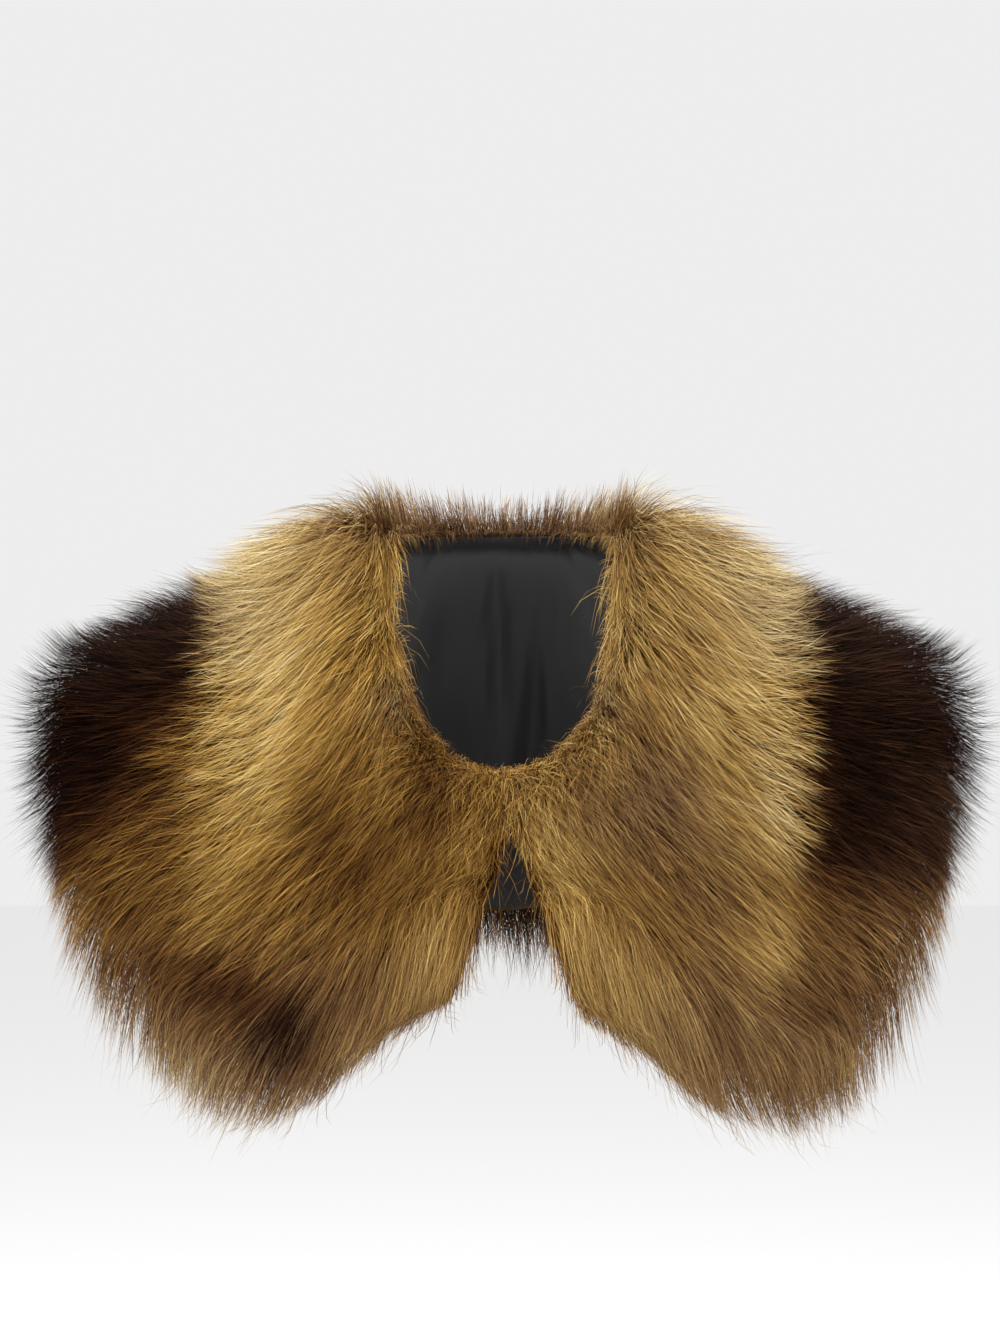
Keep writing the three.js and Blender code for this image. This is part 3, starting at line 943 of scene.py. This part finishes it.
def nearest_middle(seed, degrees, t, cell):
    """The scattered middle of the lock that a root belongs to, and the lock's number."""
    u, v = degrees / cell[0], t / cell[1]
    best = np.full(len(u), np.inf)
    mid_u, mid_v, number = np.zeros(len(u)), np.zeros(len(u)), np.zeros(len(u), int)
    by_u, by_v, by_seed = LOCK_PRIMES
    for du in (-1, 0, 1):
        for dv in (-1, 0, 1):
            iu, iv = np.floor(u).astype(int) + du, np.floor(v).astype(int) + dv
            code = (iu * by_u + iv * by_v + seed * by_seed) % LOCK_NUMBERS
            ju = iu + 0.5 + LOCK_SCATTER * np.sin(code * SCATTER_WAVES[0])
            jv = iv + 0.5 + LOCK_SCATTER * np.sin(code * SCATTER_WAVES[1] + 1)
            gap = (u - ju) ** 2 + (v - jv) ** 2
            closer = gap < best
            best = np.where(closer, gap, best)
            mid_u, mid_v = np.where(closer, ju, mid_u), np.where(closer, jv, mid_v)
            number = np.where(closer, code, number)
    return mid_u * cell[0], mid_v * cell[1], number


def lock_value(number, salt):
    """A steady value from -1 to 1 for a lock."""
    wave, by_salt, other_wave = VALUE_WAVES
    return np.sin(number * wave + salt * by_salt) * np.cos(number * other_wave + salt)


class Roots:
    """The roots of one stretch of hair, and the kind, lock and tuft of each."""

    def __init__(self, rng, panel, count, stretch):
        self.rng, self.panel, self.count = rng, panel, count
        self.share, self.t = draw_roots(rng, panel, count, stretch)
        self.kind = np.searchsorted(KIND_SHARES, rng.uniform(0, 1, count))
        self.under, self.wisp = self.kind == 0, self.kind == 2
        self.fuzz = (self.under & (self.t < FUZZ_RING)) * 1.0
        self.degrees = column_angle(panel, self.share, self.t)
        self.on_drop = drop_share(self.degrees, self.t)
        here = self.degrees, self.t
        lock, tuft = (LOCK_SEED, *here, LOCK_CELL), (TUFT_SEED, *here, TUFT_CELL)
        self.lock_degrees, self.lock_t, self.lock = nearest_middle(*lock)
        self.tuft_degrees, _, self.tuft = nearest_middle(*tuft)

    def by_kind(self, values):
        return np.array(values)[self.kind]

    def between(self, low, high):
        return self.rng.uniform(low, high, self.count)

    def scatter(self, size):
        return self.rng.normal(0, size, self.count)

    def trait(self, name):
        salt, by_lock, by_tuft = TRAITS[name]
        tuft = by_tuft * lock_value(self.tuft, salt + 1)
        return by_lock * lock_value(self.lock, salt) + tuft


# ---- Hair ----

LENGTHS = ((25, 4), (38, 6), (50, 7))  # by kind: mean and spread, millimetres
NECK_LENGTH, NECK_LENGTH_RINGS = 0.64, (0.0, 1.2)
FUZZ_LENGTHS = (0.45, 1.25)
HEM_LENGTH_RINGS = (3.0, 3.9)
INWARD_SHORTER = 0.35
RISES = ((0.40, 0.85), (0.66, 1.12), (0.95, 1.25))  # shares of the pile's height
# Over the shoulders more of the hair stands high
FULL_ANGLES, FULL_RINGS = (52, 74, 106, 128), (0.9, 1.6, 3.6, 4.4)
FULL_POWER, FULL_UNDERFUR = 0.4, 0.12
DROP_RISE = 0.06
NECK_RISE, NECK_RISE_RINGS = 1.12, (0.8, 1.6)
STRAY_DEGREES, STRAY_RINGS = 5, 0.14  # how far the lie is blurred
SWINGS = (0.26, 0.12, 0.24)  # by kind: spread of the lie, radians
WANDER_SWING = 0.15
NEAR_NECK_RINGS = (0.2, 1.2)
LOOSE_STANDING, LOOSE_NECK, LOOSE_FUZZ, LOOSE_WHORL = 1.4, 0.7, 1.8, 2.2
# Beside the opening the hair lies away from it
AWAY_SWING, AWAY_SHARE, AWAY_RINGS = 0.22, 0.14, (0.8, 2.4)
DROP_TRAVEL = 0.05
PULLS = (0.2, 0.36, 0.1)  # by kind: how far a hair leans to the middle of its lock
PULL_POWER = 1.3
DROP_PULL, NECK_PULL, RING_PULL, TUFT_PULL = 0.7, 0.6, 0.6, 0.10
WISP_REACH = 0.34
ROOT_POWER = 1.25  # how steeply a hair leaves its root
STANDING = 0.35
INWARD_FLATTER, FUZZ_FLATTER = 0.25, 0.5
STRAIGHT_TRAVEL = 0.96
STIFFNESS = (0.1, 0.2, 0.3)  # by kind: how far a hair runs straight on
CORNER_STIFFNESS = (0.5, 0.5, 0.2)
DROP_STIFFNESS = 0.32
HEM_LIMP, HEM_LIMP_RINGS = 0.8, (3.1, 3.8)
HANG_HEM, HANG_HEM_RINGS = 0.10, (3.9, 4.6)
HANG_NECK, HANG_NECK_RINGS, HANG_FUZZ_ANGLES = 0.45, (-0.45, 0.2), (80, 120)
CRIMPS = (0.7, 0.25, 0.3)  # by kind, millimetres
CRIMP_WAVES, CRIMP_PHASES = (3, 7), (0, 6.28)
WIDTHS = (0.42, 0.28, 0.21)  # by kind, millimetres
WIDTH_SPREAD, FUZZ_THINNER = (0.75, 1.25), 0.45
TAPER = np.array([0.8, 1.0, 0.75])  # width at the points along a hair
STRIP_TURN = 1.15  # radians that a hair's strip may be turned about it
FACE_SHARE, OUT_SHARE, EDGE_SHARE = 0.55, 0.45, 0.5  # in the way its shading faces
HAIR_MAP_WIDTH = 0.004
COLOUR_PLACES = (0.4, 1.0)
FRONT_DEPTHS = (-30, 10)  # millimetres to the front over which the front's colours begin
DARK_CONTRAST, CONTRAST_TONES = 0.72, (0.12, 0.4)
TONE_SPREAD, TONE_LIMITS = 0.11, (-0.26, 0.18)
# The underfur's darkening is partly its own colour and partly painted shade in the gaps
# under the guard hair
WANDER_TONE, UNDER_TONE_AND_SHADE, FUZZ_TONE = 0.02, 0.08, 0.12
ASH_SPREAD = 0.10
SHADE_AND_TONE_ALONG = np.array([-0.28, -0.10, 0.01, 0.06])  # painted shade, darker at the root deep in the pile, and a little paler at the tip
NECK_SHADE, NECK_SHADE_RINGS = 0.4, (0.3, 1.1)
HEM_TONE_ALONG = np.array([0, 0, 0.02, 0.05])
HEM_TONE_RINGS = (3.2, 4.0)
TONE_ENDS, ASH_ENDS = (0.01, 0.86), (0.02, 0.98)


def hair_lengths(roots):
    mean, spread = roots.by_kind(LENGTHS).T
    length = (mean + spread * roots.scatter(1)) * MM * (1 + roots.trait("length"))
    length = length * mix(NECK_LENGTH, 1.0, smoothstep(roots.t, *NECK_LENGTH_RINGS))
    length = length * np.where(roots.fuzz > 0, roots.between(*FUZZ_LENGTHS), 1)
    at_hem = smoothstep(roots.t, *HEM_LENGTH_RINGS)
    return length * (1 + hem_growth(roots.degrees) * at_hem)


def hair_rises(roots):
    """How high the hairs stand, as shares of the pile's height."""
    low, high = roots.by_kind(RISES).T
    full = band(turn(roots.degrees), *FULL_ANGLES) * band(roots.t, *FULL_RINGS)
    rise = roots.between(0, 1) ** mix(1.0, FULL_POWER, full) * (high - low) + low
    rise = rise + FULL_UNDERFUR * full * roots.under + roots.trait("rise")
    rise = rise + DROP_RISE * roots.on_drop
    rise = rise * mix(NECK_RISE, 1.0, smoothstep(roots.t, *NECK_RISE_RINGS))
    return rise * (1 + side_swell(roots.degrees, roots.t))


def hair_swings(roots, lying, near_neck):
    """How far, in radians, each hair is turned from the lie at its place."""
    here = roots.degrees, roots.t
    swing = WANDER_SWING * wander(*here, 1.0) + roots.trait("swing") + outward_sweep(*here)
    loose = 1 + LOOSE_STANDING * (1 - lying) + LOOSE_NECK * near_neck
    loose = loose + LOOSE_FUZZ * roots.fuzz + LOOSE_WHORL * spot(*here, *WHORL)
    swing = swing + roots.by_kind(SWINGS) * roots.scatter(1) * loose
    if roots.panel.startswith("front"):
        left = roots.panel == "front_left"
        beside = 1 - smoothstep(roots.share if left else 1 - roots.share, 0, AWAY_SHARE)
        away = AWAY_SWING * beside * smoothstep(roots.t, *AWAY_RINGS)
        swing = swing + (away if left else -away)
    return swing


def hair_lines(roots):
    """The points along each hair, and the outward direction at each."""
    on_drop, fuzz = roots.on_drop, roots.fuzz
    length, rise = hair_lengths(roots), hair_rises(roots)
    strayed = (
        roots.degrees + roots.scatter(STRAY_DEGREES), roots.t + roots.scatter(STRAY_RINGS)
    )
    down, around = hair_way(*strayed, fuzz)
    lying = np.hypot(down, around)[:, 0]
    inward = np.clip(-down[:, 0], 0, 1)
    length = length * (1 - INWARD_SHORTER * inward)
    near_neck = 1 - smoothstep(roots.t, *NEAR_NECK_RINGS)
    swing = hair_swings(roots, lying, near_neck)[:, None]
    turned, kept = np.sin(swing), np.cos(swing)
    down, around = down * kept - around * turned, down * turned + around * kept

    # The hair follows the hide, in degrees and rings
    root, per_degree, per_ring, root_out = sample(
        roots.degrees, roots.t, (POINT, PER_DEGREE, PER_RING, OUT)
    )
    travel = length[:, None] * ALONG * (1 - DROP_TRAVEL * on_drop)[:, None]
    t = roots.t[:, None] + travel * down / np.linalg.norm(per_ring, axis=-1)[:, None]
    sideways = travel * around / np.linalg.norm(per_degree, axis=-1)[:, None]
    shares = np.repeat(roots.share[:, None], len(ALONG), 1)
    degrees = column_angle(roots.panel, shares, np.clip(t, 0, HAIR_TIPS)) + sideways
    pull = roots.by_kind(PULLS) * (1 + DROP_PULL * on_drop) * (1 - NECK_PULL * near_neck)
    pull = ALONG**PULL_POWER * pull[:, None]
    degrees = degrees + (roots.lock_degrees - roots.degrees)[:, None] * pull
    degrees = degrees + (roots.tuft_degrees - roots.degrees)[:, None] * TUFT_PULL * ALONG
    t = t + (roots.lock_t - roots.t)[:, None] * pull * RING_PULL
    reach = hem_reach(roots.degrees) + roots.trait("reach")
    reach = reach + roots.wisp * roots.between(0, WISP_REACH)
    t = np.minimum(t, reach[:, None])

    points, out = sample(degrees, t)
    root_rise = mix(1 - (1 - ALONG) ** ROOT_POWER, ALONG, on_drop[:, None])
    lift = pile_height(np.clip(t, 0, HAIR_TIPS)) * rise[:, None]
    lift = lift * (root_rise + STANDING * (1 - lying)[:, None] * ALONG)
    lift = lift * ((1 - INWARD_FLATTER * inward) * (1 - FUZZ_FLATTER * fuzz))[:, None]
    followed = points + out * lift[..., None]

    # A stiffer hair leaves the hide's curve and runs straight on
    way = unit(per_ring) * down[:, :1] + unit(per_degree) * around[:, :1]
    off = (pile_height(roots.t) * rise)[:, None] * root_rise
    straight = root[:, None] + way[:, None] * (travel * STRAIGHT_TRAVEL)[..., None]
    straight = straight + root_out[:, None] * off[..., None]
    corner = spot(roots.degrees, roots.t, *CORNER)
    stiff = roots.by_kind(STIFFNESS) + DROP_STIFFNESS * on_drop
    stiff = np.minimum(stiff + roots.by_kind(CORNER_STIFFNESS) * corner, 1.0)
    limp = HEM_LIMP * smoothstep(roots.t, *HEM_LIMP_RINGS) * (1 - on_drop)
    stiff = stiff * (1 - inward) * (1 - limp)
    line = mix(followed, straight, (stiff[:, None] * ALONG)[..., None])

    # Past the hem and the neckline it hangs, and every hair is a little crimped
    at_back = fuzz * smoothstep(turn(roots.degrees), *HANG_FUZZ_ANGLES)
    hangs = (1 - smoothstep(t, *HANG_NECK_RINGS)) * mix(HANG_NECK, 1.0, at_back)[:, None]
    hangs = hangs + smoothstep(t, *HANG_HEM_RINGS) * HANG_HEM
    line[..., 2] -= hangs * length[:, None] * ALONG**2
    waves = roots.between(*CRIMP_WAVES)[:, None]
    crimp = np.sin(ALONG * waves + roots.between(*CRIMP_PHASES)[:, None])
    crimp = crimp * roots.by_kind(CRIMPS)[:, None] * MM * ALONG
    return line + unit(per_degree)[:, None] * crimp[..., None], out


def hair_colours(roots, line):
    """The tones along each hair and its ash, by a place on it, so that zones blend."""
    place = np.where(roots.wisp, 1.0, roots.between(*COLOUR_PLACES))[:, None]
    shown = mix(line[:, 1], line[:, -1], place) / MM
    is_front = smoothstep(-shown[:, 1], *FRONT_DEPTHS)
    tone, ash = fur_tone(shown[:, 0], shown[:, 2], roots.t, is_front)
    contrast = mix(DARK_CONTRAST, 1.0, smoothstep(tone, *CONTRAST_TONES))
    change = np.clip(roots.scatter(TONE_SPREAD), *TONE_LIMITS) + roots.trait("tone")
    change = change + WANDER_TONE * wander(roots.degrees, roots.t, 4.0)
    # darker underfur: its own colour and painted shade in the gaps
    change = change - UNDER_TONE_AND_SHADE * roots.under + FUZZ_TONE * roots.fuzz
    tone = tone + contrast * change
    ash = ash + roots.scatter(ASH_SPREAD) + roots.trait("ash")
    # Painted shade at the roots, weaker near the neckline
    shade = contrast * mix(NECK_SHADE, 1.0, smoothstep(roots.t, *NECK_SHADE_RINGS))
    at_hem = smoothstep(roots.t, *HEM_TONE_RINGS)
    along = SHADE_AND_TONE_ALONG * shade[:, None] + HEM_TONE_ALONG * at_hem[:, None]
    return np.clip(tone[:, None] + along, *TONE_ENDS), np.clip(ash, *ASH_ENDS)


def hair_mesh(name, points, normals, map_points):
    """One mesh of all the strips: two edges of points, and a tip, for each hair."""
    count, size = points.shape[:2]
    corners = []
    for k in range(SEGMENTS - 1):
        corners += [2 * k, 2 * k + 1, 2 * k + 3, 2 * k + 2]
    corners += [size - 3, size - 2, size - 1]
    totals = np.tile([4] * (SEGMENTS - 1) + [3], count)
    starts = np.concatenate([[0], np.cumsum(totals)[:-1]])
    loops = (np.arange(count)[:, None] * size + np.array(corners)).ravel()

    mesh = bpy.data.meshes.new(name)
    mesh.vertices.add(count * size)
    mesh.vertices.foreach_set("co", points.astype(np.float32).ravel())
    mesh.loops.add(len(loops))
    mesh.loops.foreach_set("vertex_index", loops.astype(np.int32))
    mesh.polygons.add(len(totals))
    mesh.polygons.foreach_set("loop_start", starts.astype(np.int32))
    mesh.polygons.foreach_set("use_smooth", np.ones(len(totals), bool))
    mesh.update(calc_edges=True)
    layer = mesh.uv_layers.new(name=HAIR_MAP)
    uvs = map_points.reshape(-1, 2)[loops]
    layer.data.foreach_set("uv", uvs.astype(np.float32).ravel())
    mesh.normals_split_custom_set_from_vertices(normals.reshape(-1, 3).tolist())
    return mesh


def add_hair(name, panel, count, stretch, material, seed):
    """The hairs of a stretch of a panel in one mesh, each a thin tapered strip."""
    roots = Roots(np.random.default_rng(seed), panel, count, stretch)
    line, out = hair_lines(roots)
    width = roots.by_kind(WIDTHS) * MM * roots.between(*WIDTH_SPREAD)
    width = width * (1 - FUZZ_THINNER * roots.fuzz)
    tones, ash = hair_colours(roots, line)
    angle = roots.between(-STRIP_TURN, STRIP_TURN)[:, None, None]

    way = unit(np.gradient(line, axis=1))
    across = unit(np.cross(way, out))
    over = np.cross(across, way)
    strip = across * np.cos(angle) + over * np.sin(angle)
    face = over * np.cos(angle) - across * np.sin(angle)
    soft = unit(face * FACE_SHARE + out * OUT_SHARE)
    half = strip[:, :SEGMENTS] * (width[:, None] * TAPER / 2)[..., None]
    points, normals = np.empty((2, count, 2 * SEGMENTS + 1, 3))
    map_points = np.empty((count, 2 * SEGMENTS + 1, 2))
    for side in (-1, 1):
        edge = slice((side + 1) // 2, 2 * SEGMENTS, 2)
        points[:, edge] = line[:, :SEGMENTS] + side * half
        normals[:, edge] = soft[:, :SEGMENTS] + side * strip[:, :SEGMENTS] * EDGE_SHARE
        map_points[:, edge, 0] = tones[:, :SEGMENTS]
        map_points[:, edge, 1] = ash[:, None] + side * HAIR_MAP_WIDTH
    points[:, -1], normals[:, -1] = line[:, -1], soft[:, -1]
    map_points[:, -1, 0], map_points[:, -1, 1] = tones[:, -1], ash
    mesh = hair_mesh(name, points, unit(normals), map_points)
    mesh.materials.append(material)
    return put_in_scene(name, mesh)


SEED = 71
# Hair pieces: name, panel, hairs, stretch of the panel
HAIR = (
    ("hair_front_left", "front_left", 36000, (0, 1)),
    ("hair_front_right", "front_right", 36000, (0, 1)),
    ("hair_shoulder_left", "shoulder_left", 28000, (0, 1)),
    ("hair_shoulder_right", "shoulder_right", 28000, (0, 1)),
    ("hair_back_left", "back", 27000, (0, 0.5)),
    ("hair_back_right", "back", 27000, (0.5, 1)),
)

# ---- Putting the wrap together ----

add_camera()
add_studio()
add_floor()

hair_material = hair_paint()
underfur_material = grain_paint(
    "underfur", ((0.3, (30, 18, 10)), (0.5, (52, 35, 18)), (0.7, (78, 55, 30))),
    scale=160, relief=0.6, relief_scale=900, Roughness=0.95, Specular_IOR_Level=0.1,
)
suede_material = grain_paint(
    "hide suede", ((0.3, (52, 40, 28)), (0.7, (70, 56, 40))),
    scale=60, relief=0.3, relief_scale=1400, Roughness=0.95, Specular_IOR_Level=0.1,
)
satin_material = grain_paint(
    "black satin", ((0.3, (9, 8, 9)), (0.7, (15, 14, 16))),
    scale=35, relief=0.12, relief_scale=2600, Roughness=0.34, Specular_IOR_Level=0.35,
)
thread_material = grain_paint(
    "black thread", ((0.3, (20, 19, 21)), (0.7, (34, 33, 36))),
    scale=800, relief=0.5, relief_scale=3500, Roughness=0.7,
)
wire_material = grain_paint(
    "enamelled wire", ((0.3, (24, 24, 26)), (0.7, (36, 36, 39))),
    scale=500, relief=0.15, relief_scale=2500, Roughness=0.3, Metallic=0.4,
    Coat_Weight=0.6, Coat_Roughness=0.2,
)

hides = {panel: add_hide(panel, underfur_material, suede_material) for panel in PANELS}
hairs = {}
for index, (name, panel, count, stretch) in enumerate(HAIR):
    hair = add_hair(name, panel, count, stretch, hair_material, SEED + index)
    hairs.setdefault(panel, []).append(hair)
lining = add_lining(satin_material)
stitches = add_stitches(thread_material)
threads = add_clasp_threads(thread_material)
for node in ("clasp_eye", "clasp_hook"):
    bpy.data.objects[node].data.materials.clear()
    bpy.data.objects[node].data.materials.append(wire_material)

# Each sheet's cut: width and length of the piece of cloth, and its area
CUTS = {
    "front_left": (0.17, 0.22, 0.0195),
    "front_right": (0.18, 0.21, 0.0205),
    "shoulder_left": (0.26, 0.23, 0.0375),
    "shoulder_right": (0.26, 0.23, 0.0370),
    "back": (0.34, 0.22, 0.0555),
}

for panel, hide in hides.items():
    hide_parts("fur_" + panel)
    width, length, area = CUTS[panel]
    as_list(hairs[panel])
    for piece in [hide] + hairs[panel]:
        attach(piece, "root")
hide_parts("lining")
for piece in (lining, stitches, threads):
    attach(piece, "root")
